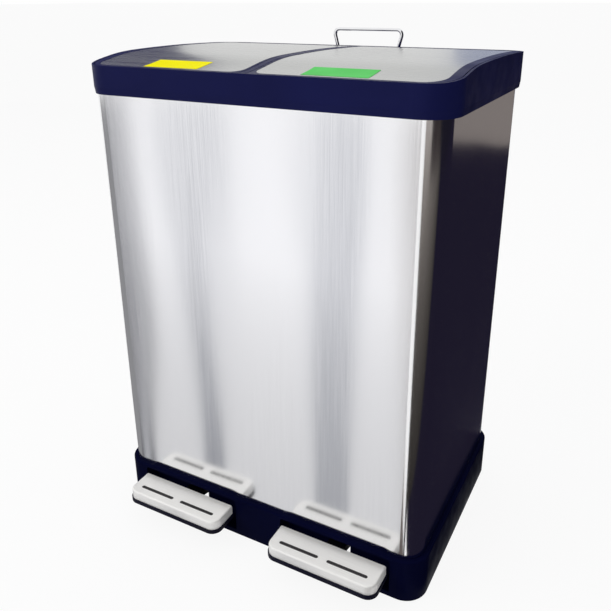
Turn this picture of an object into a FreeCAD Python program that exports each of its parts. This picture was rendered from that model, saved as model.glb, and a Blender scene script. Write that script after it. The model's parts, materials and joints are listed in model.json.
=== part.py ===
import FreeCAD, Part
import math
import os

# Double recycling bin. Millimetres, +Z up, front towards -Y. Geometry is laid out with the body's
# centre on x = y = 0 and moved along Y on export so that the whole bounding box is centred.

# ---- main sizes -------------------------------------------------------------------------------
SHELL_W = 446.0
SHELL_D = 305.0
SHELL_R = 24.0
SHELL_T = 0.5
SHELL_FLANGE = 8.0

COLLAR_BOTTOM = 590.0
COLLAR_OVER = 6.75
COLLAR_R = 38.0
COLLAR_WALL = 2.7
COLLAR_TAPER = 1.2
COLLAR_TAPER_H = 8.0
COLLAR_LIP_H = 5.0
COLLAR_SKIRT_H = 5.0
LEDGE_RISE = 20.0
LEDGE_T = 3.0
LEDGE_W = 13.5
BRIDGE_HALF = 3.75
BRIDGE_LEDGE = 8.25

# top line of lids and collar: share of the collar's half depth, and rise over the ledge
TOP_STATIONS = [(-0.942, 13.7), (-0.8038, 16.6), (-0.609, 21.7), (-0.2575, 24.8),
                (0.1256, 25.2), (0.5777, 24.0), (1.0173, 21.5)]

BASE_TOP = 61.7
BASE_OVER = 6.4
BASE_R = 30.0
BASE_RIM_R = 2.5
ARCH_RISE = 1.6
ARCH_FLAT_HALF = 65.0
ARCH_INNER = 76.0
ARCH_OUTER = 72.0
BASE_WALL = 3.0
BASE_BOTTOM = 1.5
DECK_DROP = 3.7
DECK_T = 2.5
WINDOW_BOTTOM = 8.0
RECESS_DEPTH = 23.9
RECESS_T = 2.5
LEVER_SLOT_LOW = 12.0
LEVER_SLOT_HIGH = 42.0
UPSTAND_H = 2.0
UPSTAND_T = 2.0
FOOT_R = 11.0
FOOT_H = 4.5

PEDAL_HALF = 74.2
PEDAL_DEPTH = 40.0
PEDAL_CORNER_R = 13.0
PEDAL_TOP = 50.0
PEDAL_H = 13.0
PEDAL_LIP = 1.5
PEDAL_LIP_H = 5.5
PEDAL_EDGE_R = 2.5
CAP_T = 1.0
SLOT_NEAR = 6.0
SLOT_FAR = 60.8
SLOT_W = 5.0
SLOT_SETBACK = 14.0

LEVER_HALF = 12.0
LEVER_T = 2.0
LEVER_H = 12.0
LEVER_FRONT_TOP = 40.0
LEVER_BEND = 45.0
PIVOT_Y = -45.0
PIVOT_Z = 22.0
AXLE_R = 3.0
RIB_T = 3.0

LID_SKIN = 2.8
LID_SKIRT = 2.5
LID_BACK_R = 18.0
PANEL_BORDER_IN = 3.65
PANEL_BORDER = 11.05
PANEL_BORDER_FRONT = 5.05
PANEL_BEHIND = 0.45
PANEL_T = 0.8
PANEL_RECESS = 1.0
PANEL_CORNER_R = 16.0
LABEL_HALF = 37.6
LABEL_LENGTH = 31.5
LABEL_INWARD = 9.9
LABEL_SETBACK = 4.5
LABEL_T = 0.3

HINGE_DROP = 9.2
KNUCKLE_R = 9.0
KNUCKLE_T = 1.8
KNUCKLE_W = 8.0
HINGE_PIN_R = 2.0
LUG_OFFSET = 62.0
LUG_EYE_R = 6.5
LUG_HALF = 3.7
LUG_STEM_HALF = 2.2

CRANK_R = 18.0
CRANK_ANGLE = 40.0
CRANK_PIN_R = 2.0
EAR_INNER = 6.5
EAR_OUTER = 9.5
WELL_HALF = 22.0
WELL_DEPTH = 13.0
WELL_BEHIND = 5.55
REAR_LEDGE = 34.55

ROD_R = 2.5
HEAD_HALF = 5.0
HEAD_SLOT_Y = 9.4
HEAD_SLOT_Z = 5.4
NOSE_R = 6.0
TOWER_R = 10.0
TOWER_H = 19.0
GUIDE_R = 4.0

BUCKET_DROP = 10.0
BUCKET_RIM = 5.0
BUCKET_T = 2.0
BUCKET_DRAFT = 5.0
BUCKET_R = 24.0

WIRE_R = 2.5
HANDLE_OFFSET = 14.15
HANDLE_FOOT = 42.5
HANDLE_TOP_HALF = 53.6
HANDLE_H = 41.0
HANDLE_CORNER_R = 7.0
BRACKET_LUG_W = 5.0
BRACKET_EYE_R = 5.5
BRACKET_HALF = 12.0
BRACKET_SCREW_X = 32.0
BRACKET_SCREW_Z = 7.0

# ---- clearances -------------------------------------------------------------------------------
RUN = 0.06
SLIDE = 0.25
HOLD = 0.3
NOSE_GAP = 0.5
LID_GAP = 1.0
LID_REST = 2.0
BARREL_GAP = 1.75
LEVER_SLOT_GAP = 2.0
PEDAL_GAP = 3.1
WINDOW_GAP = 3.3
WINDOW_UNDER_DECK = 1.0
BUCKET_GAP_IN = 3.0
BUCKET_GAP_OUT = 1.55
BUCKET_GAP_FRONT = 6.05
BUCKET_GAP_BACK = 3.0
LUG_GAP = 5.5

# ---- sizes that follow ------------------------------------------------------------------------
COLLAR_HX = SHELL_W / 2 + COLLAR_OVER
COLLAR_HY = SHELL_D / 2 + COLLAR_OVER
COLLAR_IX = COLLAR_HX - COLLAR_WALL
COLLAR_IY = COLLAR_HY - COLLAR_WALL
COLLAR_IR = COLLAR_R - COLLAR_WALL
COLLAR_SKIRT_BOTTOM = COLLAR_BOTTOM - COLLAR_SKIRT_H
LEDGE_TOP = COLLAR_BOTTOM + LEDGE_RISE
TOP_LINE = [(share * COLLAR_HY, LEDGE_TOP + rise) for share, rise in TOP_STATIONS]
SKY = LEDGE_TOP + 50.0
UNDER = COLLAR_BOTTOM - 90.0
BRIDGE_LEDGE_HALF = BRIDGE_HALF + BRIDGE_LEDGE

BASE_HX = SHELL_W / 2 + BASE_OVER
BASE_HY = SHELL_D / 2 + BASE_OVER
DECK_TOP = BASE_TOP - DECK_DROP
DECK_BOTTOM = DECK_TOP - DECK_T
SHELL_BOTTOM = DECK_TOP
SHELL_TOP = LEDGE_TOP - LEDGE_T

LID_IN = BRIDGE_HALF + LID_GAP
LID_OUT = COLLAR_IX - LID_GAP
LID_FRONT = -COLLAR_IY + LID_GAP
LID_BOTTOM = LEDGE_TOP + LID_REST
HINGE_Y = COLLAR_IY - KNUCKLE_R - LID_GAP
LID_BACK = HINGE_Y - KNUCKLE_R
KNUCKLE_BORE = KNUCKLE_R - KNUCKLE_T
BARREL_END = COLLAR_IX - COLLAR_IR - BARREL_GAP
PANEL_INNER = LID_IN + PANEL_BORDER_IN
PANEL_OUTER = LID_OUT - PANEL_BORDER
PANEL_FRONT = LID_FRONT + PANEL_BORDER_FRONT
PANEL_BACK = LID_BACK + PANEL_BEHIND

PEDAL_X = SHELL_W / 4 + 1.1
CRANK_X = PEDAL_X
LABEL_X = PEDAL_X - LABEL_INWARD
LABEL_FRONT = PANEL_FRONT + LABEL_SETBACK
LABEL_BACK = LABEL_FRONT + LABEL_LENGTH
REAR_LEDGE_FRONT = HINGE_Y - REAR_LEDGE
WELL_BACK = HINGE_Y - WELL_BEHIND

PEDAL_BACK = -BASE_HY - PEDAL_GAP
PEDAL_FRONT = PEDAL_BACK - PEDAL_DEPTH
WINDOW_HALF = PEDAL_HALF + WINDOW_GAP
WINDOW_TOP = DECK_TOP - WINDOW_UNDER_DECK
PEDAL_SKIRT = PEDAL_TOP - PEDAL_H
PEDAL_BOTTOM = PEDAL_SKIRT - PEDAL_LIP_H
SLOT_Y = PEDAL_FRONT + SLOT_SETBACK
LEVER_TOP = PIVOT_Z + LEVER_H / 2
LEVER_BACK = WELL_BACK - 1.0

BUCKET_IN = BRIDGE_LEDGE_HALF + BUCKET_GAP_IN
BUCKET_OUT = COLLAR_IX - LEDGE_W - BUCKET_GAP_OUT
BUCKET_X = (BUCKET_IN + BUCKET_OUT) / 2
BUCKET_HALF = (BUCKET_OUT - BUCKET_IN) / 2
BUCKET_FRONT = -COLLAR_IY + LEDGE_W + BUCKET_GAP_FRONT
BUCKET_BACK = REAR_LEDGE_FRONT - BUCKET_GAP_BACK
BUCKET_TOP = LEDGE_TOP - BUCKET_DROP
WELL_FLOOR = LEDGE_TOP - WELL_DEPTH
TOWER_TOP = DECK_TOP + TOWER_H

HANDLE_Y = COLLAR_HY + HANDLE_OFFSET
HANDLE_PIVOT_Z = LEDGE_TOP + 2
HANDLE_TOP_Z = HANDLE_PIVOT_Z + HANDLE_H
BRACKET_LUG_IN = HANDLE_FOOT + LUG_GAP


def vec(x, y, z):
    return FreeCAD.Vector(x, y, z)


def box(x0, x1, y0, y1, z0, z1):
    return Part.makeBox(x1 - x0, y1 - y0, z1 - z0, vec(x0, y0, z0))


def cyl(x, y, z, r, h, axis=(0, 0, 1)):
    return Part.makeCylinder(r, h, vec(x, y, z), vec(*axis))


def fuse(shapes):
    return shapes[0].multiFuse(shapes[1:]).removeSplitter()


def cut(shape, tools):
    for tool in tools:
        shape = shape.cut(tool)
    return shape.removeSplitter()


def mirrored(shape):
    return shape.mirror(vec(0, 0, 0), vec(1, 0, 0))


def outline(x0, x1, y0, y1, radii, z):
    """Closed rectangle in plan with its own radius at each corner: front-left, front-right,
    back-right, back-left."""
    corners = [(x0, y0, 1, 1, 180), (x1, y0, -1, 1, 270), (x1, y1, -1, -1, 0), (x0, y1, 1, -1, 90)]
    edges = []
    points = []
    for (cx, cy, sx, sy, start), r in zip(corners, radii):
        ox = cx + sx * r
        oy = cy + sy * r
        arc = []
        for step in (0, 45, 90):
            a = math.radians(start + step)
            arc.append(vec(ox + r * math.cos(a), oy + r * math.sin(a), z))
        points.append((arc, r))
    for i, (arc, r) in enumerate(points):
        if r > 0:
            edges.append(Part.Arc(arc[0], arc[1], arc[2]).toShape())
        after = points[(i + 1) % 4][0][0]
        edges.append(Part.makeLine(arc[2], after))
    return Part.Wire(edges)


def prism(x0, x1, y0, y1, z0, z1, radii):
    if isinstance(radii, (int, float)):
        radii = (radii,) * 4
    return Part.Face(outline(x0, x1, y0, y1, radii, z0)).extrude(vec(0, 0, z1 - z0))


def round_box(hx, hy, z0, z1, r):
    return prism(-hx, hx, -hy, hy, z0, z1, r)


def tapered(bottom, top, z0, z1):
    """Loft between two plan rectangles given as (x0, x1, y0, y1, r)."""
    low = outline(*bottom[:4], (bottom[4],) * 4, z0)
    high = outline(*top[:4], (top[4],) * 4, z1)
    return Part.makeLoft([low, high], True, True)


def side_shape(points, x0, x1):
    """Polygon in the YZ plane, drawn out along X."""
    loop = [vec(x0, y, z) for y, z in points]
    wire = Part.makePolygon(loop + [loop[0]])
    return Part.Face(wire).extrude(vec(x1 - x0, 0, 0))


def top_curve():
    curve = Part.BSplineCurve()
    curve.interpolate([vec(0, y, z) for y, z in TOP_LINE])
    return curve


def top_height(y):
    """Height of the top line at a given y."""
    line = Part.Line(vec(0, y, 0), vec(0, y, SKY))
    hit = top_curve().intersectCC(line)
    return hit[0].Z


def below_top(drop):
    """Everything under the top line, lowered by drop, over the whole width."""
    curve = top_curve()
    first = TOP_LINE[0]
    last = TOP_LINE[-1]
    front = vec(0, first[0] - 20, first[1] - 0.4)
    edges = [Part.makeLine(front, vec(0, *first)), curve.toShape()]
    edges.append(Part.makeLine(vec(0, *last), vec(0, last[0], UNDER)))
    edges.append(Part.makeLine(vec(0, last[0], UNDER), vec(0, front.y, UNDER)))
    edges.append(Part.makeLine(vec(0, front.y, UNDER), front))
    solid = Part.Face(Part.Wire(edges)).extrude(vec(2 * SHELL_W, 0, 0))
    solid.translate(vec(-SHELL_W, 0, -drop))
    return solid


def capped(solid, drop):
    """The part of a plan prism that lies under the lowered top line."""
    cover = below_top(drop)
    return solid.common(cover)


def screw(x, y, z, head_r, head_h, shank_r, shank_h, up):
    """Pan-head screw; z is the seat under the head and up is the way the shank points."""
    d = (0, 0, 1) if up else (0, 0, -1)
    back = (0, 0, -1) if up else (0, 0, 1)
    head = cyl(x, y, z, head_r, head_h, back)
    shank = cyl(x, y, z, shank_r, shank_h, d)
    slot_z = z - head_h if up else z + head_h - 0.8
    cross_a = box(x - head_r * 0.6, x + head_r * 0.6, y - 0.4, y + 0.4, slot_z, slot_z + 0.8)
    cross_b = box(x - 0.4, x + 0.4, y - head_r * 0.6, y + head_r * 0.6, slot_z, slot_z + 0.8)
    return cut(head.fuse(shank), [cross_a, cross_b])


def path_wire(points, radii):
    """Polyline with rounded inner corners."""
    edges = []
    last = points[0]
    for i in range(1, len(points) - 1):
        corner = points[i]
        a = points[i - 1].sub(corner).normalize()
        b = points[i + 1].sub(corner).normalize()
        half = a.getAngle(b) / 2
        reach = radii[i - 1] / math.tan(half)
        start = corner + a * reach
        end = corner + b * reach
        middle = a + b
        middle.normalize()
        centre = corner + middle * (radii[i - 1] / math.sin(half))
        crown = centre - middle * radii[i - 1]
        edges.append(Part.makeLine(last, start))
        edges.append(Part.Arc(start, crown, end).toShape())
        last = end
    edges.append(Part.makeLine(last, points[-1]))
    return Part.Wire(edges)


# ---- body shell -------------------------------------------------------------------------------
def body_shell():
    hx = SHELL_W / 2
    hy = SHELL_D / 2
    outer = round_box(hx, hy, SHELL_BOTTOM, SHELL_TOP, SHELL_R)
    inner = round_box(hx - SHELL_T, hy - SHELL_T, SHELL_BOTTOM + SHELL_T, SHELL_TOP - SHELL_T,
                      SHELL_R - SHELL_T)
    mouth = round_box(hx - SHELL_FLANGE, hy - SHELL_FLANGE, SHELL_BOTTOM - 1, SHELL_TOP + 1,
                      SHELL_R - SHELL_FLANGE)
    holes = [cyl(x, y, SHELL_BOTTOM - 1, 1.5, 3) for x, y in base_screw_spots()]
    holes += [cyl(x, y, SHELL_TOP - 2, 1.5, 3) for x, y in collar_screw_spots()]
    return cut(outer, [inner, mouth] + holes)


def base_screw_spots():
    x = SHELL_W / 2 - 4.4
    y = SHELL_D / 2 - 4.4
    return [(0, -y), (0, y), (-x, -60), (x, -60), (-x, 60), (x, 60)]


def collar_screw_spots():
    x = SHELL_W / 2 - 4.4
    y = SHELL_D / 2 - 4.4
    spots = [(-x, 0), (x, 0)]
    for side in (-1, 1):
        for off in (-40, 40):
            spots.append((side * CRANK_X + off, -y))
            spots.append((side * CRANK_X + off, y))
    return spots


# ---- base moulding ----------------------------------------------------------------------------
def arch(side):
    """Low rise of the rim over one pedal."""
    inner_foot = PEDAL_X - ARCH_INNER
    outer_foot = PEDAL_X + ARCH_OUTER
    low = BASE_TOP - 6
    high = BASE_TOP + ARCH_RISE
    xs = [(inner_foot, BASE_TOP), (PEDAL_X - ARCH_FLAT_HALF, high), (PEDAL_X + ARCH_FLAT_HALF, high),
          (outer_foot, BASE_TOP), (outer_foot, low), (inner_foot, low)]
    loop = [vec(side * x, -BASE_HY, z) for x, z in xs]
    face = Part.Face(Part.makePolygon(loop + [loop[0]]))
    depth = BASE_OVER - SLIDE
    return face.extrude(vec(0, depth, 0))


def rim_rounding(solid, z_low):
    """Round the upper outer edges of the rim."""
    edges = []
    for edge in solid.Edges:
        b = edge.BoundBox
        outer = abs(b.YMin + BASE_HY) < 0.01 or abs(b.YMax - BASE_HY) < 0.01
        outer = outer or abs(b.XMax - BASE_HX) < 0.01 or abs(b.XMin + BASE_HX) < 0.01
        level = b.ZMin > z_low and b.ZLength < 3
        inside = b.YMin > -BASE_HY + 0.01 and b.YMax < BASE_HY - 0.01
        inside = inside and b.XMin > -BASE_HX + 0.01 and b.XMax < BASE_HX - 0.01
        if outer and level and not inside:
            edges.append(edge)
    return solid.makeFillet(BASE_RIM_R, edges)


def foot_spots():
    x = BASE_HX - 22
    y = BASE_HY - 22
    return [("front_left", -x, -y), ("front_right", x, -y), ("rear_left", -x, y),
            ("rear_right", x, y)]


def base_moulding():
    block = round_box(BASE_HX, BASE_HY, BASE_BOTTOM, BASE_TOP, BASE_R)
    block = fuse([block, arch(-1), arch(1)])
    block = rim_rounding(block, BASE_TOP - 1)
    hollow = round_box(BASE_HX - BASE_WALL, BASE_HY - BASE_WALL, 0, DECK_BOTTOM,
                       BASE_R - BASE_WALL)
    seat = round_box(SHELL_W / 2 + SLIDE, SHELL_D / 2 + SLIDE, DECK_TOP, BASE_TOP + 5,
                     SHELL_R + SLIDE)
    block = cut(block, [hollow, seat])
    adds = []
    cuts = []
    lip = SHELL_FLANGE + 1
    upstand = round_box(SHELL_W / 2 - lip, SHELL_D / 2 - lip, DECK_TOP - 1, DECK_TOP + UPSTAND_H,
                        SHELL_R - lip)
    hole = round_box(SHELL_W / 2 - lip - UPSTAND_T, SHELL_D / 2 - lip - UPSTAND_T, DECK_TOP - 2,
                     DECK_TOP + UPSTAND_H + 1, SHELL_R - lip - UPSTAND_T)
    adds.append(upstand.cut(hole))
    for side in (-1, 1):
        x = side * PEDAL_X
        adds.append(pedal_recess(x))
        cuts.append(prism_window(x))
        for step in (-1, 1):
            near = x + step * (LEVER_HALF + 0.6)
            far = near + step * RIB_T
            rib = side_shape([(PIVOT_Y - 26, DECK_TOP - 1), (PIVOT_Y - 9, PIVOT_Z - 9),
                              (PIVOT_Y + 9, PIVOT_Z - 9), (PIVOT_Y + 26, DECK_TOP - 1)],
                             min(near, far), max(near, far))
            adds.append(rib)
        cuts.append(cyl(x - 30, PIVOT_Y, PIVOT_Z, AXLE_R, 60, (1, 0, 0)))
        adds.append(cyl(x, ROD_Y, DECK_TOP - 1, TOWER_R, TOWER_TOP - DECK_TOP + 1))
        cuts.append(cyl(x, ROD_Y, DECK_BOTTOM - 1, NOSE_R + 1.5, TOWER_TOP - 3 - DECK_BOTTOM + 1))
        cuts.append(cyl(x, ROD_Y, TOWER_TOP - 4, GUIDE_R, 6))
    for name, x, y in foot_spots():
        adds.append(cyl(x, y, BASE_BOTTOM, FOOT_R + 2.5, DECK_BOTTOM - BASE_BOTTOM + 0.5))
        cuts.append(cyl(x, y, 0, FOOT_R + HOLD, FOOT_H))
        cuts.append(cyl(x, y, 0, 3.0, 14))
        cuts.append(cyl(x, y, 16, FOOT_R, DECK_BOTTOM - 18))
    for x, y in base_screw_spots():
        cuts.append(cyl(x, y, DECK_BOTTOM - 1, 1.5, 12))
    return cut(fuse([block] + adds), cuts)


def prism_window(x):
    """Pedal opening through the front wall, with rounded upper corners."""
    r = 4.0
    tall = box(x - WINDOW_HALF, x + WINDOW_HALF, -BASE_HY - 1, -BASE_HY + BASE_WALL + 6,
               WINDOW_BOTTOM, WINDOW_TOP - r)
    wide = box(x - WINDOW_HALF + r, x + WINDOW_HALF - r, -BASE_HY - 1, -BASE_HY + BASE_WALL + 6,
               WINDOW_TOP - r - 1, WINDOW_TOP)
    rolls = []
    for step in (-1, 1):
        rolls.append(cyl(x + step * (WINDOW_HALF - r), -BASE_HY - 1, WINDOW_TOP - r, r,
                         BASE_WALL + 7, (0, 1, 0)))
    return fuse([tall, wide] + rolls)


def pedal_recess(x):
    """Floor, sides and back behind a pedal opening, with a slot in the back for the lever."""
    half = WINDOW_HALF
    front = -BASE_HY + BASE_WALL / 2
    back = -BASE_HY + RECESS_DEPTH
    outer = box(x - half - RECESS_T, x + half + RECESS_T, front, back + RECESS_T,
                WINDOW_BOTTOM - RECESS_T, DECK_BOTTOM + DECK_T / 2)
    inner = box(x - half, x + half, front - 1, back, WINDOW_BOTTOM, DECK_BOTTOM)
    slot_half = LEVER_HALF + LEVER_SLOT_GAP
    slot = box(x - slot_half, x + slot_half, back - 1, back + RECESS_T + 1, LEVER_SLOT_LOW,
               LEVER_SLOT_HIGH)
    return cut(outer, [inner, slot])


def foot(x, y):
    pad = cyl(x, y, 0, FOOT_R, FOOT_H)
    stem = cyl(x, y, FOOT_H - 0.5, 3.0, 9.5)
    return fuse([pad, stem])


def base_screws():
    return [screw(x, y, DECK_BOTTOM, 3.2, 2.0, 1.5, 9.0, True) for x, y in base_screw_spots()]


# ---- pedals -----------------------------------------------------------------------------------
def pedal_plan(grow, z0, z1, back):
    x = PEDAL_X
    r = PEDAL_CORNER_R + grow
    return prism(x - PEDAL_HALF - grow, x + PEDAL_HALF + grow, PEDAL_FRONT - grow, back, z0, z1,
                 (r, r, 0, 0))


def rolled_edge(solid, z, radius, back):
    """Round the front and side edges at the top, not the back edge."""
    edges = []
    for edge in solid.Edges:
        b = edge.BoundBox
        if abs(b.ZMin - z) < 0.01 and abs(b.ZMax - z) < 0.01 and b.YMin < back - 0.01:
            edges.append(edge)
    return solid.makeFillet(radius, edges)


def slot_shapes(half_width, z0, z1):
    shapes = []
    for step in (-1, 1):
        x0 = PEDAL_X + step * SLOT_NEAR
        x1 = PEDAL_X + step * SLOT_FAR
        trim = SLOT_W / 2 - half_width
        shapes.append(prism(min(x0, x1) + trim, max(x0, x1) - trim, SLOT_Y - half_width,
                            SLOT_Y + half_width, z0, z1, half_width - 0.01))
    return shapes


def pedal_cap():
    outer = rolled_edge(pedal_plan(0, PEDAL_SKIRT, PEDAL_TOP, PEDAL_BACK), PEDAL_TOP, PEDAL_EDGE_R,
                        PEDAL_BACK)
    inner = pedal_plan(-CAP_T, PEDAL_SKIRT - 1, PEDAL_TOP - CAP_T, PEDAL_BACK + 5)
    inner = rolled_edge(inner, PEDAL_TOP - CAP_T, PEDAL_EDGE_R - CAP_T, PEDAL_BACK + 5)
    return cut(outer, [inner] + slot_shapes(SLOT_W / 2, PEDAL_TOP - 3, PEDAL_TOP + 1))


def pedal_screw_spots():
    return [(PEDAL_X, PEDAL_BACK - 8), (PEDAL_X, PEDAL_BACK - 22)]


def pedal_body():
    play = 0.1
    core = pedal_plan(-CAP_T - play, PEDAL_BOTTOM, PEDAL_TOP - CAP_T, PEDAL_BACK)
    core = rolled_edge(core, PEDAL_TOP - CAP_T, PEDAL_EDGE_R - CAP_T, PEDAL_BACK)
    lip = pedal_plan(PEDAL_LIP, PEDAL_BOTTOM, PEDAL_SKIRT, PEDAL_BACK)
    body = fuse([core, lip])
    wall = 2.5
    pocket = pedal_plan(-CAP_T - wall, PEDAL_BOTTOM - 1, PEDAL_TOP - CAP_T - wall,
                        PEDAL_BACK - wall)
    gate = box(PEDAL_X - LEVER_HALF - 0.5, PEDAL_X + LEVER_HALF + 0.5, PEDAL_BACK - wall - 1,
               PEDAL_BACK + 1, PEDAL_BOTTOM - 1, LEVER_FRONT_TOP)
    body = cut(body, [pocket, gate] + slot_shapes(SLOT_W / 2, PEDAL_TOP - CAP_T - 1, PEDAL_TOP))
    bosses = [cyl(x, y, LEVER_FRONT_TOP, 5.0, PEDAL_TOP - CAP_T - 2 - LEVER_FRONT_TOP)
              for x, y in pedal_screw_spots()]
    ribs = []
    for step in (-45, 45):
        ribs.append(box(PEDAL_X + step - 1, PEDAL_X + step + 1, PEDAL_FRONT + 3, PEDAL_BACK - 1,
                        PEDAL_BOTTOM + 2, PEDAL_TOP - CAP_T - 2))
    holes = [cyl(x, y, LEVER_FRONT_TOP - 1, 1.5, 7) for x, y in pedal_screw_spots()]
    return cut(fuse([body] + bosses + ribs), holes)


def pedal_grips():
    return slot_shapes(SLOT_W / 2 - 0.1, PEDAL_TOP - CAP_T - 1, PEDAL_TOP - 0.3)


def lever_outline(top_drop):
    """Side outline of the lever channel; the top is lowered by top_drop for the inner cut."""
    front = PEDAL_FRONT + 12
    bend_a = PEDAL_BACK + 12
    bend_b = PIVOT_Y - LEVER_BEND
    top = [(front, LEVER_FRONT_TOP), (bend_a, LEVER_FRONT_TOP), (bend_b, LEVER_TOP),
           (LEVER_BACK, LEVER_TOP)]
    top = [(y, z - top_drop) for y, z in top]
    bottom = [(LEVER_BACK, LEVER_TOP - LEVER_H), (bend_b, LEVER_TOP - LEVER_H),
              (bend_a, LEVER_FRONT_TOP - 9), (front, LEVER_FRONT_TOP - 8)]
    if top_drop > 0:
        bottom = [(y, z - 5) for y, z in bottom]
    return top + bottom


def pedal_lever():
    x0 = PEDAL_X - LEVER_HALF
    x1 = PEDAL_X + LEVER_HALF
    outer = side_shape(lever_outline(0), x0, x1)
    inner = side_shape(lever_outline(LEVER_T), x0 + LEVER_T, x1 - LEVER_T)
    ends = box(x0 + LEVER_T, x1 - LEVER_T, PEDAL_FRONT, PEDAL_FRONT + 14, 20,
               LEVER_FRONT_TOP - LEVER_T)
    pivot = cyl(x0 - 1, PIVOT_Y, PIVOT_Z, AXLE_R + RUN, 2 * LEVER_HALF + 2, (1, 0, 0))
    holes = [cyl(x, y, LEVER_FRONT_TOP - 5, 1.5, 6) for x, y in pedal_screw_spots()]
    return cut(outer, [inner, ends, pivot] + holes)


def pedal_bush():
    half = LEVER_HALF - LEVER_T
    tube = cyl(PEDAL_X - half, PIVOT_Y, PIVOT_Z, AXLE_R + 0.9, 2 * half, (1, 0, 0))
    return tube.cut(cyl(PEDAL_X - half, PIVOT_Y, PIVOT_Z, AXLE_R + RUN, 2 * half, (1, 0, 0)))


def pedal_screws():
    seat = LEVER_FRONT_TOP - LEVER_T
    return [screw(x, y, seat, 3.0, 1.8, 1.5, 7.0, True) for x, y in pedal_screw_spots()]


def pedal_axle():
    half = LEVER_HALF + 0.6 + RIB_T + 3.5
    axle = cyl(PEDAL_X - half, PIVOT_Y, PIVOT_Z, AXLE_R, 2 * half, (1, 0, 0))
    grooves = []
    for step in (-1, 1):
        x = PEDAL_X + step * (half - 2.3) - 0.5
        ring = cyl(x, PIVOT_Y, PIVOT_Z, AXLE_R + 1, 1, (1, 0, 0))
        grooves.append(ring.cut(cyl(x, PIVOT_Y, PIVOT_Z, AXLE_R - 0.6, 1, (1, 0, 0))))
    return cut(axle, grooves)


def axle_clips():
    half = LEVER_HALF + 0.6 + RIB_T + 3.5
    clips = []
    for step in (-1, 1):
        x = PEDAL_X + step * (half - 2.3) - 0.4
        ring = cyl(x, PIVOT_Y, PIVOT_Z, AXLE_R + 2.2, 0.8, (1, 0, 0))
        ring = ring.cut(cyl(x, PIVOT_Y, PIVOT_Z, AXLE_R - 0.6, 0.8, (1, 0, 0)))
        mouth = box(x - 1, x + 2, PIVOT_Y - 1.8, PIVOT_Y + 1.8, PIVOT_Z - 8, PIVOT_Z)
        clips.append(ring.cut(mouth))
    return clips


# ---- lid linkage ------------------------------------------------------------------------------
def crank_offset(angle):
    a = math.radians(angle)
    return (-CRANK_R * math.cos(a), CRANK_R * math.sin(a))


HINGE_Z = top_height(HINGE_Y) - HINGE_DROP
PIN_REST = crank_offset(-CRANK_ANGLE)
ROD_Y = HINGE_Y + (PIN_REST[0] - CRANK_R) / 2
ROD_TRAVEL = 2 * CRANK_R * math.sin(math.radians(CRANK_ANGLE))
HEAD_Z = HINGE_Z + PIN_REST[1]


def lift_rod():
    low = LEVER_TOP + NOSE_GAP + NOSE_R + 2
    return cyl(CRANK_X, ROD_Y, low, ROD_R, HEAD_Z - HEAD_SLOT_Z / 2 - 2.3 - low)


def rod_foot():
    z = LEVER_TOP + NOSE_GAP + NOSE_R
    nose = Part.makeSphere(NOSE_R, vec(CRANK_X, ROD_Y, z))
    barrel = cyl(CRANK_X, ROD_Y, z, NOSE_R, 8.0)
    neck = cyl(CRANK_X, ROD_Y, z + 8.0, ROD_R + 1.5, 3.0)
    bore = cyl(CRANK_X, ROD_Y, z + 2, ROD_R, 20.0)
    return cut(fuse([nose, barrel, neck]), [bore])


def rod_head():
    sy = HEAD_SLOT_Y / 2
    sz = HEAD_SLOT_Z / 2
    wall = 2.0
    block = prism(CRANK_X - HEAD_HALF, CRANK_X + HEAD_HALF, ROD_Y - sy - wall, ROD_Y + sy + wall,
                  HEAD_Z - sz - 2.3, HEAD_Z + sz + 2.3, 1.5)
    neck = cyl(CRANK_X, ROD_Y, HEAD_Z - sz - 10, ROD_R + 1.5, 8.0)
    slot = box(CRANK_X - HEAD_HALF - 1, CRANK_X + HEAD_HALF + 1, ROD_Y - sy + sz, ROD_Y + sy - sz,
               HEAD_Z - sz, HEAD_Z + sz)
    ends = [cyl(CRANK_X - HEAD_HALF - 1, ROD_Y + s * (sy - sz), HEAD_Z, sz, 2 * HEAD_HALF + 2,
                (1, 0, 0)) for s in (-1, 1)]
    bore = cyl(CRANK_X, ROD_Y, HEAD_Z - sz - 12, ROD_R, 12 - 2.3)
    return cut(fuse([block, neck]), [slot, bore] + ends)


def rod_guide(z_seat):
    """Flanged bush pressed into a hole from above."""
    sleeve = cyl(CRANK_X, ROD_Y, z_seat - 5, GUIDE_R, 5)
    flange = cyl(CRANK_X, ROD_Y, z_seat, GUIDE_R + 2, 1.5)
    return cut(fuse([sleeve, flange]), [cyl(CRANK_X, ROD_Y, z_seat - 6, ROD_R + RUN, 9)])


def rod_cover():
    front = REAR_LEDGE_FRONT + 4
    back = WELL_BACK - 1
    wall = 1.8
    z0 = DECK_TOP + HOLD
    z1 = WELL_FLOOR - 2.5 - HOLD
    outer = box(CRANK_X - WELL_HALF, CRANK_X + WELL_HALF, front, back, z0, z1)
    inner = box(CRANK_X - WELL_HALF + wall, CRANK_X + WELL_HALF - wall, front + wall, back + 1,
                z0 + wall, z1 + 1)
    return cut(outer, [inner, cyl(CRANK_X, ROD_Y, z0 - 1, TOWER_R + 0.2, 5)])


# ---- lids -------------------------------------------------------------------------------------
def lid_plan(inset, z0, z1, back):
    r = COLLAR_IR - LID_GAP - inset
    return prism(LID_IN + inset, LID_OUT - inset, LID_FRONT + inset, back, z0, z1,
                 (3.0, r, max(LID_BACK_R - inset, 1), 0))


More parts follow.
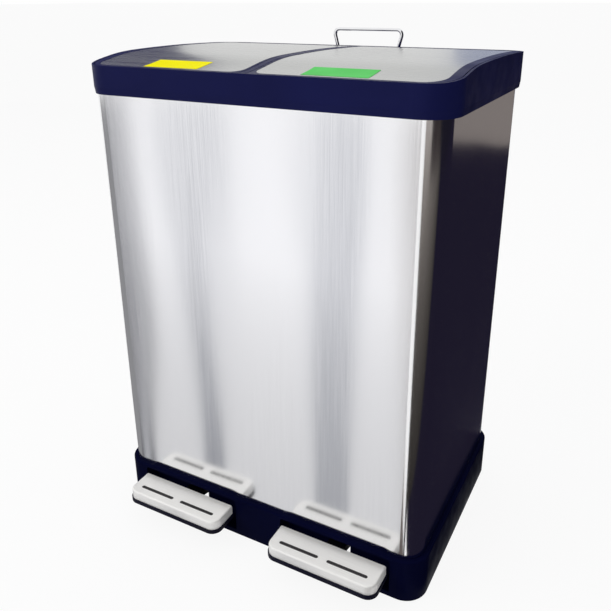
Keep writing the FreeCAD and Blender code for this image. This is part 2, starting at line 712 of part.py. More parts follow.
def barrel_skin():
    """Rolled back edge of the lid: a quarter tube over the hinge line."""
    length = BARREL_END - LID_IN
    tube = cyl(LID_IN, HINGE_Y, HINGE_Z, KNUCKLE_R, length, (1, 0, 0))
    bore = cyl(LID_IN, HINGE_Y, HINGE_Z, KNUCKLE_BORE, length, (1, 0, 0))
    reach = KNUCKLE_R * 1.6
    low = math.radians(15)
    keep = side_shape([(HINGE_Y, HINGE_Z), (HINGE_Y + reach * math.cos(low),
                       HINGE_Z + reach * math.sin(low)), (HINGE_Y + reach, HINGE_Z + reach),
                       (HINGE_Y, HINGE_Z + reach)], LID_IN, BARREL_END)
    return tube.cut(bore).common(keep)


def lug_centres():
    return [CRANK_X - LUG_OFFSET, CRANK_X + LUG_OFFSET]


def knuckles():
    solids = []
    for x in lug_centres():
        for step in (-1, 1):
            near = x + step * (LUG_HALF + HOLD)
            far = near + step * KNUCKLE_W
            solids.append(cyl(min(near, far), HINGE_Y, HINGE_Z, KNUCKLE_R, KNUCKLE_W, (1, 0, 0)))
            solids.append(box(min(near, far), max(near, far), LID_BACK - 4, HINGE_Y,
                              HINGE_Z, HINGE_Z + KNUCKLE_R - 1))
    return solids


def crank_boss_spots():
    return [(CRANK_X - 16, HINGE_Y - 34.5), (CRANK_X + 16, HINGE_Y - 34.5)]


def lid_frame():
    solid = capped(lid_plan(0, LID_BOTTOM, SKY, LID_BACK), 0)
    pocket = capped(lid_plan(LID_SKIRT, LID_BOTTOM - 1, SKY, LID_BACK + 5), LID_SKIN)
    recess = panel_plan(0.15, LID_BOTTOM, SKY)
    recess = recess.cut(below_top(PANEL_RECESS))
    solid = solid.cut(pocket)
    strip = capped(box(LID_IN, BARREL_END, LID_BACK - 2, HINGE_Y, HINGE_Z + 4, SKY), 0)
    strip = strip.cut(cyl(LID_IN - 1, HINGE_Y, HINGE_Z, KNUCKLE_BORE, COLLAR_HX,
                          (1, 0, 0)))
    strip = strip.cut(below_top(LID_SKIN).common(
        box(LID_IN - 1, BARREL_END + 1, LID_BACK - 3, HINGE_Y - KNUCKLE_BORE, UNDER, SKY)))
    bosses = [cyl(x, y, CRANK_PLATE_TOP, 4.0, 4.0) for x, y in crank_boss_spots()]
    solid = fuse([solid, strip, barrel_skin()] + knuckles() + bosses)
    holes = [cyl(0, HINGE_Y, HINGE_Z, HINGE_PIN_R + RUN, COLLAR_HX, (1, 0, 0))]
    holes += [cyl(x, y, CRANK_PLATE_TOP - 1, 1.25, 4.0) for x, y in crank_boss_spots()]
    return cut(solid, [recess] + holes)


def panel_plan(grow, z0, z1):
    r = COLLAR_IR - (COLLAR_IX - PANEL_OUTER)
    return prism(PANEL_INNER - grow, PANEL_OUTER + grow, PANEL_FRONT - grow, PANEL_BACK + grow,
                 z0, z1, (PANEL_CORNER_R, r, 10, 2))


def lid_panel():
    top = capped(panel_plan(0, LID_BOTTOM, SKY), PANEL_RECESS - PANEL_T)
    return top.cut(below_top(PANEL_RECESS))


def lid_label():
    plan = prism(LABEL_X - LABEL_HALF, LABEL_X + LABEL_HALF, LABEL_FRONT, LABEL_BACK, LID_BOTTOM,
                 SKY, 0.5)
    rise = PANEL_RECESS - PANEL_T - LABEL_T
    return capped(plan, rise).cut(below_top(rise + LABEL_T))


CRANK_PLATE_TOP = HINGE_Z + 5.5


def lid_crank():
    back = HINGE_Y - 24
    front = HINGE_Y - 45
    z = CRANK_PLATE_TOP
    plate = prism(CRANK_X - 22, CRANK_X + 22, front, back, z - 2, z, 3)
    pin_y = HINGE_Y + PIN_REST[0]
    pin_z = HINGE_Z + PIN_REST[1]
    solids = [plate]
    for step in (-1, 1):
        x0 = CRANK_X + step * EAR_INNER
        x1 = CRANK_X + step * EAR_OUTER
        low = min(x0, x1)
        high = max(x0, x1)
        web = side_shape([(front, z), (back, z), (pin_y + 3.6, pin_z + 3.5),
                          (pin_y - 3.2, pin_z - 3.8), (front, z - 5)], low, high)
        solids.append(web)
        solids.append(cyl(low, pin_y, pin_z, 5.0, high - low, (1, 0, 0)))
    holes = [cyl(CRANK_X - 20, pin_y, pin_z, CRANK_PIN_R, 40, (1, 0, 0))]
    holes += [cyl(x, y, z - 3, 1.6, 4) for x, y in crank_boss_spots()]
    return cut(fuse(solids), holes)


def crank_pin():
    pin_y = HINGE_Y + PIN_REST[0]
    pin_z = HINGE_Z + PIN_REST[1]
    pin = cyl(CRANK_X - EAR_OUTER, pin_y, pin_z, CRANK_PIN_R, 2 * EAR_OUTER, (1, 0, 0))
    heads = [cyl(CRANK_X - EAR_OUTER - 1.2, pin_y, pin_z, 3.2, 1.2, (1, 0, 0)),
             cyl(CRANK_X + EAR_OUTER, pin_y, pin_z, 3.2, 1.2, (1, 0, 0))]
    return fuse([pin] + heads)


def crank_screws():
    return [screw(x, y, CRANK_PLATE_TOP - 2, 3.0, 1.6, 1.25, 4.8, True)
            for x, y in crank_boss_spots()]


def hinge_pin():
    half = LUG_OFFSET + LUG_HALF + HOLD + KNUCKLE_W + 1.5
    return cyl(CRANK_X - half, HINGE_Y, HINGE_Z, HINGE_PIN_R, 2 * half, (1, 0, 0))


# ---- collar -----------------------------------------------------------------------------------
def collar_wall():
    ring = capped(round_box(COLLAR_HX, COLLAR_HY, COLLAR_BOTTOM + COLLAR_TAPER_H, SKY, COLLAR_R), 0)
    t = COLLAR_TAPER
    foot_ring = tapered((-COLLAR_HX + t, COLLAR_HX - t, -COLLAR_HY + t, COLLAR_HY - t,
                         COLLAR_R - t), (-COLLAR_HX, COLLAR_HX, -COLLAR_HY, COLLAR_HY, COLLAR_R),
                        COLLAR_BOTTOM, COLLAR_BOTTOM + COLLAR_TAPER_H)
    solid = fuse([ring, foot_ring])
    above = round_box(COLLAR_IX, COLLAR_IY, COLLAR_BOTTOM + COLLAR_LIP_H, SKY, COLLAR_IR)
    below = round_box(SHELL_W / 2 + SLIDE, SHELL_D / 2 + SLIDE, COLLAR_BOTTOM - 1, SKY,
                      SHELL_R + SLIDE)
    return cut(solid, [above, below])


def mouth(side):
    x0 = BRIDGE_LEDGE_HALF
    x1 = COLLAR_IX - LEDGE_W
    y0 = -COLLAR_IY + LEDGE_W
    shape = prism(x0, x1, y0, REAR_LEDGE_FRONT, LEDGE_TOP - 10, LEDGE_TOP + 1, (4, 22, 4, 4))
    return shape if side > 0 else mirrored(shape)


def collar_ledge():
    solid = round_box(COLLAR_IX + 0.5, COLLAR_IY + 0.5, LEDGE_TOP - LEDGE_T, LEDGE_TOP,
                      COLLAR_IR + 0.5)
    return cut(solid, [mouth(-1), mouth(1)])


def collar_skirt():
    """Inner skirt that locates the collar inside the shell's flange, left out at the rod wells."""
    lip = SHELL_FLANGE + 0.5
    hx = SHELL_W / 2 - lip
    hy = SHELL_D / 2 - lip
    outer = round_box(hx, hy, COLLAR_SKIRT_BOTTOM, LEDGE_TOP - 1, SHELL_R - lip)
    inner = round_box(hx - 2, hy - 2, COLLAR_SKIRT_BOTTOM - 1, LEDGE_TOP, SHELL_R - lip - 2)
    gaps = [box(s * CRANK_X - WELL_HALF - 1, s * CRANK_X + WELL_HALF + 1, REAR_LEDGE_FRONT,
                COLLAR_HY, UNDER, WELL_FLOOR - 2.5) for s in (-1, 1)]
    return cut(outer, [inner] + gaps)


def rod_well():
    wall = 2.0
    front = REAR_LEDGE_FRONT + 2
    outer = box(CRANK_X - WELL_HALF, CRANK_X + WELL_HALF, front, WELL_BACK + wall,
                WELL_FLOOR - 2.5, LEDGE_TOP)
    inner = box(CRANK_X - WELL_HALF + wall, CRANK_X + WELL_HALF - wall, front + wall, WELL_BACK,
                WELL_FLOOR, LEDGE_TOP + 1)
    return outer, inner


def hinge_lug(x):
    eye = cyl(x - LUG_HALF, HINGE_Y, HINGE_Z, LUG_EYE_R, 2 * LUG_HALF, (1, 0, 0))
    stem = side_shape([(HINGE_Y - LUG_STEM_HALF, HINGE_Z), (HINGE_Y + LUG_STEM_HALF, HINGE_Z),
                       (HINGE_Y + LUG_STEM_HALF, LEDGE_TOP - 1),
                       (HINGE_Y - LUG_STEM_HALF, LEDGE_TOP - 1)], x - LUG_HALF, x + LUG_HALF)
    return eye.fuse(stem)


def bridge():
    solid = capped(box(-BRIDGE_HALF, BRIDGE_HALF, -COLLAR_IY - 0.5, COLLAR_IY + 0.5,
                       LEDGE_TOP - LEDGE_T, SKY), 0)
    core = capped(box(-BRIDGE_HALF + 2, BRIDGE_HALF - 2, -COLLAR_IY + 2, COLLAR_IY - 2,
                      LEDGE_TOP - LEDGE_T - 1, SKY), 2.5)
    return solid, core


def top_collar():
    web, core = bridge()
    parts = [collar_wall(), collar_ledge(), collar_skirt(), web]
    cuts = [core]
    for side in (-1, 1):
        outer, inner = rod_well()
        if side < 0:
            outer = mirrored(outer)
            inner = mirrored(inner)
        parts.append(outer)
        cuts.append(inner)
        cuts.append(cyl(side * CRANK_X, ROD_Y, WELL_FLOOR - 4, GUIDE_R, 6))
        for x in lug_centres():
            parts.append(hinge_lug(side * x))
        cuts.append(cyl(side * CRANK_X - 100, HINGE_Y, HINGE_Z, HINGE_PIN_R, 200, (1, 0, 0)))
    cuts += [cyl(x, y, LEDGE_TOP - LEDGE_T - 1, 1.5, LEDGE_T + 2) for x, y in collar_screw_spots()]
    cuts += [cyl(x, COLLAR_IY - 1, z, 1.5, 6, (0, 1, 0)) for x, z in bracket_screw_spots()]
    return cut(fuse(parts), cuts)


def collar_screws():
    return [screw(x, y, LEDGE_TOP, 2.8, 1.7, 1.5, 8.0, False) for x, y in collar_screw_spots()]


def lid_bumpers():
    y = LID_FRONT + 3.3
    return [cyl(CRANK_X + off, y, LEDGE_TOP, 4.0, LID_BOTTOM - LEDGE_TOP - 0.2)
            for off in (-80, 80)]


# ---- carrying handle --------------------------------------------------------------------------
def carry_handle():
    out = BRACKET_LUG_IN + BRACKET_LUG_W + 1.2
    pts = []
    for side in (-1, 1):
        trio = [vec(side * out, HANDLE_Y, HANDLE_PIVOT_Z), vec(side * HANDLE_FOOT, HANDLE_Y,
                HANDLE_PIVOT_Z), vec(side * HANDLE_TOP_HALF, HANDLE_Y, HANDLE_TOP_Z)]
        pts += trio if side < 0 else trio[::-1]
    wire = path_wire(pts, [4.0, HANDLE_CORNER_R, HANDLE_CORNER_R, 4.0])
    circle = Part.Wire(Part.makeCircle(WIRE_R, pts[0], vec(1, 0, 0)))
    bar = wire.makePipeShell([circle], True, True)
    ends = [cyl(side * out - (0 if side > 0 else 1.5), HANDLE_Y, HANDLE_PIVOT_Z, WIRE_R + 1.0, 1.5,
                (1, 0, 0)) for side in (-1, 1)]
    return fuse([bar] + ends)


def bracket_screw_spots():
    low = HANDLE_PIVOT_Z - BRACKET_SCREW_Z
    high = HANDLE_PIVOT_Z + BRACKET_SCREW_Z
    return [(side * BRACKET_SCREW_X, z) for z in (low, high) for side in (-1, 1)]


def handle_bracket():
    back = COLLAR_HY
    half = BRACKET_LUG_IN + BRACKET_LUG_W
    mid = HANDLE_PIVOT_Z
    plate = box(-half, half, back, back + 3, mid - BRACKET_HALF, mid + BRACKET_HALF)
    lugs = []
    for side in (-1, 1):
        x0 = side * BRACKET_LUG_IN
        x1 = side * half
        low = min(x0, x1)
        arm = side_shape([(back + 1, mid - BRACKET_HALF + 2), (HANDLE_Y, mid - BRACKET_EYE_R),
                          (HANDLE_Y, mid + BRACKET_EYE_R), (back + 1, mid + BRACKET_HALF - 2)],
                         low, low + BRACKET_LUG_W)
        lugs.append(arm)
        lugs.append(cyl(low, HANDLE_Y, mid, BRACKET_EYE_R, BRACKET_LUG_W, (1, 0, 0)))
        stop_x = side * (BRACKET_LUG_IN - 4)
        lugs.append(box(stop_x - 3, stop_x + 3, back + 1, HANDLE_Y - WIRE_R - HOLD, mid + 5,
                        mid + 10))
    holes = [cyl(-half - 1, HANDLE_Y, HANDLE_PIVOT_Z, WIRE_R + RUN, 2 * half + 2, (1, 0, 0))]
    holes += [cyl(x, back - 1, z, 1.5, 6, (0, 1, 0)) for x, z in bracket_screw_spots()]
    return cut(fuse([plate] + lugs), holes)


def bracket_screws():
    seat = COLLAR_HY + 3
    solids = []
    for x, z in bracket_screw_spots():
        head = cyl(x, seat, z, 3.0, 1.8, (0, 1, 0))
        shank = cyl(x, seat, z, 1.5, COLLAR_WALL + 2.9, (0, -1, 0))
        cross_a = box(x - 1.8, x + 1.8, seat + 1.0, seat + 2, z - 0.4, z + 0.4)
        cross_b = box(x - 0.4, x + 0.4, seat + 1.0, seat + 2, z - 1.8, z + 1.8)
        solids.append(cut(head.fuse(shank), [cross_a, cross_b]))
    return solids


# ---- inner buckets ----------------------------------------------------------------------------
def bucket_rect(inset):
    return (BUCKET_X - BUCKET_HALF + inset, BUCKET_X + BUCKET_HALF - inset, BUCKET_FRONT + inset,
            BUCKET_BACK - inset, BUCKET_R - inset)


def inner_bucket():
    low = DECK_TOP + HOLD
    neck = BUCKET_RIM
    foot_in = BUCKET_RIM + BUCKET_DRAFT
    outer = tapered(bucket_rect(foot_in), bucket_rect(neck), low, BUCKET_TOP)
    inner = tapered(bucket_rect(foot_in + BUCKET_T), bucket_rect(neck + BUCKET_T), low + 2.5,
                    BUCKET_TOP + 1)
    rim = prism(*bucket_rect(0)[:4], BUCKET_TOP - 9, BUCKET_TOP, BUCKET_R)
    under = prism(*bucket_rect(1.8)[:4], BUCKET_TOP - 10, BUCKET_TOP - 2, BUCKET_R - 1.8)
    rim = rim.cut(under)
    return cut(fuse([outer, rim]), [inner])


def bucket_pair():
    """Left and right buckets are one moulding, used twice."""
    left = mirrored(inner_bucket())
    right = left.copy()
    right.translate(vec(2 * BUCKET_X, 0, 0))
    return left, right


# ---- export -----------------------------------------------------------------------------------
def pair(name, solids, pieces):
    """Add the right-hand piece and its mirror image on the left."""
    if not isinstance(solids, list):
        solids = [solids]
    pieces[name + "_right"] = solids
    pieces[name + "_left"] = [mirrored(s) for s in solids]


def build():
    pieces = {"body_shell": [body_shell()], "base_moulding": [base_moulding()],
              "top_collar": [top_collar()], "base_screws": base_screws(),
              "collar_screws": collar_screws(), "handle_bracket": [handle_bracket()],
              "handle_bracket_screws": bracket_screws(), "carry_handle": [carry_handle()]}
    for name, x, y in foot_spots():
        pieces["foot_" + name] = [foot(x, y)]
    pair("pedal_axle", pedal_axle(), pieces)
    pair("axle_clips", axle_clips(), pieces)
    pair("rod_cover", rod_cover(), pieces)
    pair("rod_guide_lower", rod_guide(TOWER_TOP), pieces)
    pair("rod_guide_upper", rod_guide(WELL_FLOOR), pieces)
    pair("lid_hinge_pin", hinge_pin(), pieces)
    pair("lid_bumpers", lid_bumpers(), pieces)
    pair("lid_frame", lid_frame(), pieces)
    pair("lid_panel", lid_panel(), pieces)
    pair("lid_label", lid_label(), pieces)
    pair("lid_crank", lid_crank(), pieces)
    pair("lid_crank_pin", crank_pin(), pieces)
    pair("lid_crank_screws", crank_screws(), pieces)
    pair("lift_rod", lift_rod(), pieces)
    pair("rod_head", rod_head(), pieces)
    pair("rod_foot", rod_foot(), pieces)
    pair("pedal_body", pedal_body(), pieces)
    pair("pedal_cap", pedal_cap(), pieces)
    pair("pedal_grips", pedal_grips(), pieces)
    pair("pedal_lever", pedal_lever(), pieces)
    pair("pedal_bush", pedal_bush(), pieces)
    pair("pedal_screws", pedal_screws(), pieces)
    left, right = bucket_pair()
    pieces["inner_bucket_left"] = [left]
    pieces["inner_bucket_right"] = [right]
    return pieces


FRONT_END = PEDAL_FRONT - PEDAL_LIP
BACK_END = HANDLE_Y + BRACKET_EYE_R
Y_SHIFT = -(FRONT_END + BACK_END) / 2

os.makedirs("parts", exist_ok=True)
for node, solids in build().items():
    shape = solids[0] if len(solids) == 1 else Part.makeCompound(solids)
    shape.translate(vec(0, Y_SHIFT, 0))
    shape.exportStep("parts/" + node + ".step")
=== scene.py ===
import json
import math

import bpy
from mathutils import Matrix, Vector


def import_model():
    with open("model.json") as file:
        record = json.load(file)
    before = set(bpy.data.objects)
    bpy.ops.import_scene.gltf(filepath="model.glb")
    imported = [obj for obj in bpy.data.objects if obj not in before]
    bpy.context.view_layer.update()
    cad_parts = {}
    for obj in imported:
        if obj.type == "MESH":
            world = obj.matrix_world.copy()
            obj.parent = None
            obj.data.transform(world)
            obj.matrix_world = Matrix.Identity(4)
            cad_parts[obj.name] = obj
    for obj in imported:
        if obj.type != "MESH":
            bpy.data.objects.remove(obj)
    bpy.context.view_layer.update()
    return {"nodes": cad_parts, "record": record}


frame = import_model()
nodes = frame["nodes"]
scene = bpy.context.scene

# ---- places, in metres in the part's own frame ------------------------------------------------
FRAME_SHIFT_Y = 0.0123                  # the frame's y is the drawing's y plus this
SHELL_FRONT = -0.1525 + FRAME_SHIFT_Y   # the flat front of the steel shell
CAMERA_PLACE = Vector((0.40826, -0.7675 + FRAME_SHIFT_Y, 0.69945))
FLOOR_HALF = 60.0

# ---- the photograph's camera ------------------------------------------------------------------
CAMERA_YAW, CAMERA_PITCH, CAMERA_ROLL = 0.494, 0.363, -0.006    # radians
PHOTO_PX = 611.0                # width and height of the photo
FOCAL_PX = 681.0
CENTRE_PX = (308.57, 253.65)    # where the camera's axis meets the photo, from its top left
SENSOR_MM = 36.0
CLIP_END = 200.0

# ---- levels of light --------------------------------------------------------------------------
FLOOR_COLOUR = (0.86, 0.86, 0.87, 1)
FLOOR_WHITE = 0.9       # share of plain white in the floor that the camera and reflections see
WORLD_LIGHT = 0.62      # strength of the white world where it lights the bin; where seen it is 1
FADE_LENGTH = 0.9       # how far from the bin's front a dimmed card comes back to full strength
BAND_NEAR = 0.62        # strength of a band at the bin's front
BAND_START = 0.02       # a band's two ends, as shares of the camera's distance from the front
BAND_END = 6.0

# ---- noise and relief of the materials --------------------------------------------------------
COLOUR_STOPS = (0.3, 0.7)       # noise values at which a colour reaches its two ends
NUMBER_STOPS = (0.35, 0.65)     # the same for a number
FINE_DEPTH = 0.00003


# ---- materials --------------------------------------------------------------------------------
class Shader:
    """A small builder for one node material, in the object's own coordinates."""

    def __init__(self, name):
        self.mat = bpy.data.materials.new(name)
        self.mat.use_nodes = True
        self.tree = self.mat.node_tree
        self.bsdf = self.tree.nodes["Principled BSDF"]
        self.coords = self.tree.nodes.new("ShaderNodeTexCoord").outputs["Object"]
        self.normal = None

    def link(self, start, end):
        self.tree.links.new(start, end)

    def set(self, **values):
        for key, value in values.items():
            self.bsdf.inputs[key].default_value = value
        return self

    def noise(self, scale, detail=2.0, rough=0.5):
        """Noise with a scale of its own along each axis, per metre."""
        mapping = self.tree.nodes.new("ShaderNodeMapping")
        mapping.inputs["Scale"].default_value = scale
        self.link(self.coords, mapping.inputs["Vector"])
        texture = self.tree.nodes.new("ShaderNodeTexNoise")
        texture.inputs["Scale"].default_value = 1.0
        texture.inputs["Detail"].default_value = detail
        texture.inputs["Roughness"].default_value = rough
        self.link(mapping.outputs["Vector"], texture.inputs["Vector"])
        return texture.outputs["Fac"]

    def colour(self, noise, low, high):
        """Base colour that runs from low to high with the noise."""
        node = self.tree.nodes.new("ShaderNodeValToRGB")
        for element, stop, colour in zip(node.color_ramp.elements, COLOUR_STOPS, (low, high)):
            element.position = stop
            element.color = (*colour, 1)
        self.link(noise, node.inputs["Fac"])
        self.link(node.outputs["Color"], self.bsdf.inputs["Base Color"])

    def roughness(self, noise, low, high):
        """Roughness that runs from low to high with the noise."""
        node = self.tree.nodes.new("ShaderNodeMapRange")
        node.inputs["From Min"].default_value = NUMBER_STOPS[0]
        node.inputs["From Max"].default_value = NUMBER_STOPS[1]
        node.inputs["To Min"].default_value = low
        node.inputs["To Max"].default_value = high
        self.link(noise, node.inputs["Value"])
        self.link(node.outputs["Result"], self.bsdf.inputs["Roughness"])

    def bump(self, noise, strength, depth):
        """Relief, on top of the relief that is there already."""
        node = self.tree.nodes.new("ShaderNodeBump")
        node.inputs["Strength"].default_value = strength
        node.inputs["Distance"].default_value = depth
        self.link(noise, node.inputs["Height"])
        if self.normal is not None:
            self.link(self.normal, node.inputs["Normal"])
        self.normal = node.outputs["Normal"]
        self.link(self.normal, self.bsdf.inputs["Normal"])


def brushed(name, dark, light, grain, rough, wave=None, wave_depth=0.0, metal=1.0):
    """Brushed steel: grain is long where its scale is small, and wave bends the sheet a little."""
    s = Shader(name).set(Metallic=metal)
    fine = s.noise(grain, detail=3.0, rough=0.6)
    s.colour(fine, dark, light)
    s.roughness(fine, *rough)
    if wave:
        s.bump(s.noise(wave, detail=1.0), 1.0, wave_depth)
    s.bump(fine, 0.12, FINE_DEPTH)
    return s.mat


def moulded(name, low, high, rough=(0.38, 0.5), grain=900.0, depth=0.00006, ior=1.17):
    """Moulded plastic or rubber with a fine grain."""
    s = Shader(name).set(Metallic=0.0, IOR=ior)
    s.colour(s.noise((9, 9, 9), detail=4.0), low, high)
    s.roughness(s.noise((40, 40, 40), detail=3.0), *rough)
    s.bump(s.noise((grain,) * 3, detail=2.0), 0.3, depth)
    return s.mat


def film(name, low, high):
    """Coloured label film."""
    s = Shader(name).set(IOR=1.07)
    s.colour(s.noise((30, 30, 30), detail=3.0), low, high)
    s.roughness(s.noise((120, 120, 120)), 0.38, 0.5)
    s.bump(s.noise((700, 700, 700)), 0.15, FINE_DEPTH)
    return s.mat


def plated(name, low, high, rough):
    """Plated metal without a grain."""
    s = Shader(name).set(Metallic=1.0)
    s.colour(s.noise((60, 60, 60), detail=4.0), low, high)
    s.roughness(s.noise((300, 300, 300), detail=3.0), *rough)
    s.bump(s.noise((500, 500, 500)), 0.1, FINE_DEPTH)
    return s.mat


MATS = {
    "shell_steel": brushed("shell_steel", (0.91, 0.91, 0.92), (0.95, 0.95, 0.96), (1400, 1400, 9),
                           rough=(0.12, 0.18), wave=(5.5, 5.5, 1.5), wave_depth=0.0048),
    "lid_steel": brushed("lid_steel", (0.42, 0.425, 0.415), (0.48, 0.485, 0.475), (9, 1300, 1300),
                         rough=(0.24, 0.32), wave=(4, 4, 4), wave_depth=0.0004),
    "pedal_steel": brushed("pedal_steel", (0.90, 0.89, 0.87), (0.97, 0.96, 0.94), (12, 1500, 1500),
                           rough=(0.36, 0.44), metal=0.36),
    "navy_plastic": moulded("navy_plastic", (0.0045, 0.006, 0.050), (0.006, 0.0078, 0.064)),
    # painted shade: a darker copy of the navy plastic for the base moulding, which is the same
    # plastic; the extra darkness stands in for shade
    "painted_shade_navy": moulded("painted_shade_navy", (0.0014, 0.0019, 0.015), (0.002, 0.0027, 0.021),
                            ior=1.06),
    # painted shade: the zinc steel levers are made near black, for the shade in the window behind
    # each pedal
    "painted_shade_lever": moulded("painted_shade_lever", (0.004, 0.004, 0.006), (0.007, 0.007, 0.010), ior=1.1),
    "pedal_plastic": moulded("pedal_plastic", (0.003, 0.003, 0.012), (0.004, 0.004, 0.018)),
    "bucket_plastic": moulded("bucket_plastic", (0.03, 0.03, 0.033), (0.045, 0.045, 0.05)),
    "yellow_film": film("yellow_film", (0.93, 0.85, 0.0), (0.97, 0.89, 0.001)),
    "green_film": film("green_film", (0.105, 0.57, 0.125), (0.125, 0.63, 0.15)),
    "grip_rubber": moulded("grip_rubber", (0.04, 0.038, 0.04), (0.055, 0.052, 0.055),
                           rough=(0.6, 0.75), grain=1500.0, depth=0.0001),
    "foot_rubber": moulded("foot_rubber", (0.02, 0.02, 0.02), (0.032, 0.032, 0.032),
                           rough=(0.65, 0.8), grain=1200.0, depth=0.0001),
    "zinc_steel": plated("zinc_steel", (0.5, 0.5, 0.48), (0.62, 0.61, 0.57), (0.3, 0.45)),
    "chrome_wire": plated("chrome_wire", (0.8, 0.8, 0.82), (0.86, 0.86, 0.88), (0.06, 0.11)),
    "guide_nylon": moulded("guide_nylon", (0.62, 0.6, 0.54), (0.7, 0.68, 0.62), rough=(0.4, 0.55)),
}

# pieces given painted shade: a darker material in place of their slot's, for the shade they stand in
PAINTED_SHADE_PIECES = {
    "base_moulding": "painted_shade_navy",
    "pedal_lever_left": "painted_shade_lever",
    "pedal_lever_right": "painted_shade_lever",
}


def dress():
    """Give each CAD node the material of its slot, or the darker one that paints its shade."""
    slots = {piece["node"]: piece["material_slot"] for piece in frame["record"]["subparts"]}
    slots.update(PAINTED_SHADE_PIECES)
    for name, obj in nodes.items():
        obj.data.materials.clear()
        obj.data.materials.append(MATS[slots[name]])


# ---- stage: floor and world -------------------------------------------------------------------
def flat(name, corners, material):
    """An object with one flat face."""
    mesh = bpy.data.meshes.new(name)
    mesh.from_pydata([Vector(corner) for corner in corners], [], [tuple(range(len(corners)))])
    obj = bpy.data.objects.new(name, mesh)
    scene.collection.objects.link(obj)
    mesh.materials.append(material)
    return obj


def either(tree, first, second):
    """The larger of two values: 1 where a ray is of either kind."""
    node = tree.nodes.new("ShaderNodeMath")
    node.operation = "MAXIMUM"
    tree.links.new(first, node.inputs[0])
    tree.links.new(second, node.inputs[1])
    return node.outputs[0]


def floor_material():
    """Pale matt floor, mostly plain white to the camera and to reflections."""
    mat = bpy.data.materials.new("pale_floor")
    mat.use_nodes = True
    tree = mat.node_tree
    matt = tree.nodes["Principled BSDF"]
    matt.inputs["Base Color"].default_value = FLOOR_COLOUR
    matt.inputs["Roughness"].default_value = 0.7
    matt.inputs["Specular IOR Level"].default_value = 0.2
    ray = tree.nodes.new("ShaderNodeLightPath")
    white = tree.nodes.new("ShaderNodeEmission")
    white.inputs["Color"].default_value = (1, 1, 1, 1)
    seen = either(tree, ray.outputs["Is Camera Ray"], ray.outputs["Is Glossy Ray"])
    share = tree.nodes.new("ShaderNodeMath")
    share.operation = "MULTIPLY"
    share.inputs[1].default_value = FLOOR_WHITE
    tree.links.new(seen, share.inputs[0])
    mix = tree.nodes.new("ShaderNodeMixShader")
    tree.links.new(share.outputs[0], mix.inputs["Fac"])
    tree.links.new(matt.outputs[0], mix.inputs[1])
    tree.links.new(white.outputs[0], mix.inputs[2])
    tree.links.new(mix.outputs[0], tree.nodes["Material Output"].inputs["Surface"])
    return mat


def floor():
    r = FLOOR_HALF
    obj = flat("floor", [(-r, -r, 0), (r, -r, 0), (r, r, 0), (-r, r, 0)], floor_material())


def world():
    """White surroundings, dimmer where they light the bin than where they are seen."""
    studio = bpy.data.worlds.new("studio")
    scene.world = studio
    studio.use_nodes = True
    tree = studio.node_tree
    back = tree.nodes["Background"]
    back.inputs["Color"].default_value = (1, 1, 1, 1)
    ray = tree.nodes.new("ShaderNodeLightPath")
    through = either(tree, ray.outputs["Is Camera Ray"], ray.outputs["Is Transmission Ray"])
    seen = either(tree, through, ray.outputs["Is Glossy Ray"])
    level = tree.nodes.new("ShaderNodeMapRange")
    level.inputs["To Min"].default_value = WORLD_LIGHT
    level.inputs["To Max"].default_value = 1.0
    tree.links.new(seen, level.inputs["Value"])
    tree.links.new(level.outputs["Result"], back.inputs["Strength"])


# ---- stage: lamps and camera ------------------------------------------------------------------
def lamp(name, place, aim, side, power):
    """A square lamp that reflections don't show."""
    data = bpy.data.lights.new(name, "AREA")
    data.shape = "RECTANGLE"
    data.size = side
    data.size_y = side
    data.energy = power
    obj = bpy.data.objects.new(name, data)
    scene.collection.objects.link(obj)
    obj.location = place
    obj.rotation_euler = (Vector(aim) - Vector(place)).to_track_quat("-Z", "Y").to_euler()
    obj.visible_glossy = False


def camera():
    """Camera solved from the photograph, in the part's own frame."""
    forward = Vector((-math.sin(CAMERA_YAW) * math.cos(CAMERA_PITCH),
                      math.cos(CAMERA_YAW) * math.cos(CAMERA_PITCH),
                      -math.sin(CAMERA_PITCH)))
    right = Vector((math.cos(CAMERA_YAW), math.sin(CAMERA_YAW), 0))
    up = right.cross(forward)
    axis_x = right * math.cos(CAMERA_ROLL) + up * math.sin(CAMERA_ROLL)
    axis_y = up * math.cos(CAMERA_ROLL) - right * math.sin(CAMERA_ROLL)
    turn = Matrix((axis_x, axis_y, -forward)).transposed().to_4x4()
    data = bpy.data.cameras.new("photo_camera")
    data.sensor_width = SENSOR_MM
    data.lens = FOCAL_PX / PHOTO_PX * SENSOR_MM
    data.shift_x = (PHOTO_PX / 2 - CENTRE_PX[0]) / PHOTO_PX
    data.shift_y = (CENTRE_PX[1] - PHOTO_PX / 2) / PHOTO_PX
    data.clip_end = CLIP_END
    obj = bpy.data.objects.new("photo_camera", data)
    scene.collection.objects.link(obj)
    obj.matrix_world = Matrix.Translation(CAMERA_PLACE) @ turn
    scene.camera = obj


# ---- stage: cards for the steel to reflect ----------------------------------------------------
def card_material(name, value, near, length):
    """Plain card; near is its strength at the bin's front, which grows to 1 over length."""
    mat = bpy.data.materials.new(name)
    mat.use_nodes = True
    tree = mat.node_tree
    tree.nodes.clear()
    out = tree.nodes.new("ShaderNodeOutputMaterial")
    emit = tree.nodes.new("ShaderNodeEmission")
    emit.inputs["Color"].default_value = (*value, 1)
    if near is not None:
        split = tree.nodes.new("ShaderNodeSeparateXYZ")
        fade = tree.nodes.new("ShaderNodeMapRange")
        fade.inputs["From Min"].default_value = SHELL_FRONT
        fade.inputs["From Max"].default_value = SHELL_FRONT - length
        fade.inputs["To Min"].default_value = near
        fade.inputs["To Max"].default_value = 1.0
        coords = tree.nodes.new("ShaderNodeTexCoord")
        tree.links.new(coords.outputs["Object"], split.inputs[0])
        tree.links.new(split.outputs["Y"], fade.inputs["Value"])
        tree.links.new(fade.outputs["Result"], emit.inputs["Strength"])
    tree.links.new(emit.outputs[0], out.inputs["Surface"])
    return mat


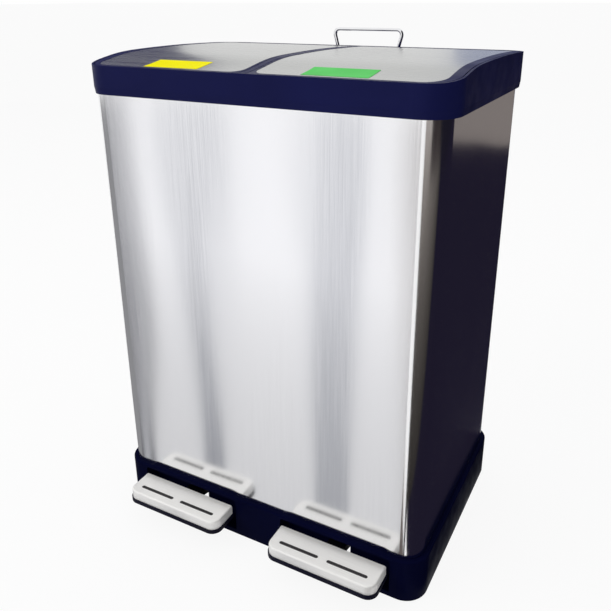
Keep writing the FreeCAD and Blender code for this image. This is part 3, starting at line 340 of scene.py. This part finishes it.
def card(name, corners, value, near=None, length=FADE_LENGTH):
    """A studio card that only reflections see."""
    obj = flat(name, corners, card_material(name, value, near, length))
    for flag in ("camera", "diffuse", "transmission", "volume_scatter", "shadow"):
        setattr(obj, "visible_" + flag, False)


def level_card(name, outline, lift, value, **fade):
    """A card that lies flat, just above the floor."""
    card(name, [(x, y, lift) for x, y in outline], value, **fade)


def upright_card(name, start, end, height, value):
    """A card that stands on the floor between two points in plan."""
    card(name, [(*start, 0.0), (*end, 0.0), (*end, height), (*start, height)], value)


def front_band(name, left, right, value, lift):
    """A strip on the floor that the flat front reflects as an upright band from left to right."""
    distance = SHELL_FRONT - CAMERA_PLACE.y
    ends = ((left, BAND_START), (right, BAND_START), (right, BAND_END), (left, BAND_END))
    corners = []
    for x, share in ends:
        corners.append((x + share * (x - CAMERA_PLACE.x), SHELL_FRONT - share * distance, lift))
    card(name, corners, value, near=BAND_NEAR)


def side_cards():
    """Cards on the floor beside the bin, for its sides and its rounded corners."""
    level_card("dark_right", [(0.235, -0.9), (3.0, -1.6), (4.0, 7.0), (0.235, 7.0)], 0.002,
               (0.012, 0.010, 0.022))
    level_card("beige_right", [(0.55, 2.62), (1.5, 2.62), (2.0, 5.6), (0.7, 5.6)], 0.003,
               (0.21, 0.185, 0.175))
    level_card("dark_front_right",
               [(0.207, -0.155), (0.207, -5.0), (5.0, -5.0), (5.0, -0.8), (0.235, -0.3)], 0.003,
               (0.30, 0.27, 0.25), near=0.03, length=2.8)
    level_card("grey_front_left", [(-0.207, -0.155), (-4.0, -3.9), (-5.0, 0.6), (-0.235, 0.0)], 0.003,
               (0.26, 0.26, 0.27))


def wall_cards():
    """Upright cards some way off, for the right side and the lids."""
    upright_card("wall_right", (0.3, 7.0), (2.6, 6.6), 4.0, (0.022, 0.018, 0.035))
    upright_card("wall_far_right", (2.6, 6.6), (2.6, -1.0), 5.0, (0.010, 0.009, 0.016))
    upright_card("wall_front_right", (1.35, -2.1), (2.6, -1.0), 3.0, (0.03, 0.024, 0.026))
    upright_card("wall_rear_left", (-5.0, 2.0), (-2.62, 3.05), 3.0, (0.05, 0.05, 0.13))
    upright_card("wall_rear_mid", (-0.72, 3.05), (0.3, 4.3), 3.0, (0.42, 0.46, 0.62))


def front_bands():
    """The bright and grey bands of the front, each one above those that it covers."""
    front_band("band_base", -0.240, 0.226, (1.0, 1.0, 1.02), 0.002)
    front_band("band_left_edge", -0.240, -0.176, (0.26, 0.26, 0.28), 0.004)
    front_band("band_left_edge_light", -0.197, -0.188, (0.80, 0.81, 0.85), 0.006)
    front_band("band_left", -0.086, -0.052, (0.46, 0.47, 0.51), 0.004)
    front_band("band_right", 0.084, 0.132, (0.58, 0.59, 0.63), 0.004)
    front_band("band_right_edge", 0.201, 0.226, (0.20, 0.17, 0.16), 0.005)


dress()
floor()
world()
lamp("key", (-1.6, -2.0, 2.6), (0, 0, 0.35), 1.8, 30)
lamp("top", (0.0, 0.6, 3.0), (0, 0, 0.5), 2.2, 14)
side_cards()
wall_cards()
front_bands()
camera()
scene.view_settings.view_transform = "Standard"
